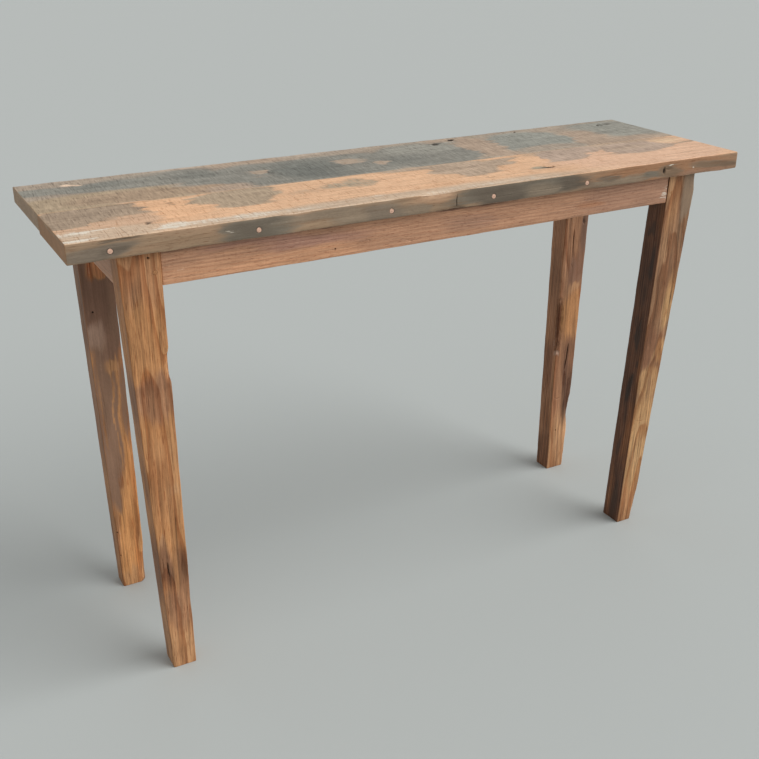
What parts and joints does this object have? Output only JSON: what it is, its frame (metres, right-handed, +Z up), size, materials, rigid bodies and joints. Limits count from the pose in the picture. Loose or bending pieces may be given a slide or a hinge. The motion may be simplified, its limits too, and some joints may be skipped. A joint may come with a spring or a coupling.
{
  "type": "console table",
  "caption": "Narrow reclaimed-wood console table: an edge-glued plank top on tapered legs, with a pegged mortise-and-tenon apron frame.",
  "frame": {"origin": "on the floor, under the middle of the top", "axes": "+X along the table to the right seen from the front, +Y to the back, +Z up"},
  "size_m": [1.21, 0.356, 0.76],
  "materials": {
    "top_wood": "weathered old plank, partly planed: grey-blue patina, orange wood, saw marks, thin matte wax",
    "leg_wood": "sanded reclaimed hardwood, golden to dark brown, satin oil",
    "apron_wood": "fine-grained reddish reclaimed wood, satin oil",
    "plug_wood": "small pinkish wood plugs and pegs, sanded flush",
    "inner_wood": "plain sawn softwood, unfinished",
    "screw_steel": "zinc-plated wood screws, slightly dulled"
  },
  "bodies": {
    "root": {"edge_plug_1": "plug_wood", "edge_plug_2": "plug_wood", "edge_plug_3": "plug_wood", "edge_plug_4": "plug_wood", "edge_plug_5": "plug_wood", "front_apron": "apron_wood", "front_left_brace_long_screw": "screw_steel", "front_left_brace_side_screw": "screw_steel", "front_left_brace_top_screw": "screw_steel", "front_left_button": "inner_wood", "front_left_button_screw": "screw_steel", "front_left_corner_brace": "inner_wood", "front_left_leg": "leg_wood", "front_left_peg": "plug_wood", "front_right_brace_long_screw": "screw_steel", "front_right_brace_side_screw": "screw_steel", "front_right_brace_top_screw": "screw_steel", "front_right_button": "inner_wood", "front_right_button_screw": "screw_steel", "front_right_corner_brace": "inner_wood", "front_right_leg": "leg_wood", "front_right_peg": "plug_wood", "left_apron": "apron_wood", "rear_apron": "apron_wood", "rear_left_brace_long_screw": "screw_steel", "rear_left_brace_side_screw": "screw_steel", "rear_left_brace_top_screw": "screw_steel", "rear_left_button": "inner_wood", "rear_left_button_screw": "screw_steel", "rear_left_corner_brace": "inner_wood", "rear_left_leg": "leg_wood", "rear_left_peg": "plug_wood", "rear_right_brace_long_screw": "screw_steel", "rear_right_brace_side_screw": "screw_steel", "rear_right_brace_top_screw": "screw_steel", "rear_right_button": "inner_wood", "rear_right_button_screw": "screw_steel", "rear_right_corner_brace": "inner_wood", "rear_right_leg": "leg_wood", "rear_right_peg": "plug_wood", "right_apron": "apron_wood", "seam_dowel_1": "inner_wood", "seam_dowel_2": "inner_wood", "seam_dowel_3": "inner_wood", "seam_dowel_4": "inner_wood", "seam_dowel_5": "inner_wood", "top_front_board": "top_wood", "top_rear_board": "top_wood"}
  },
  "joints": []
}
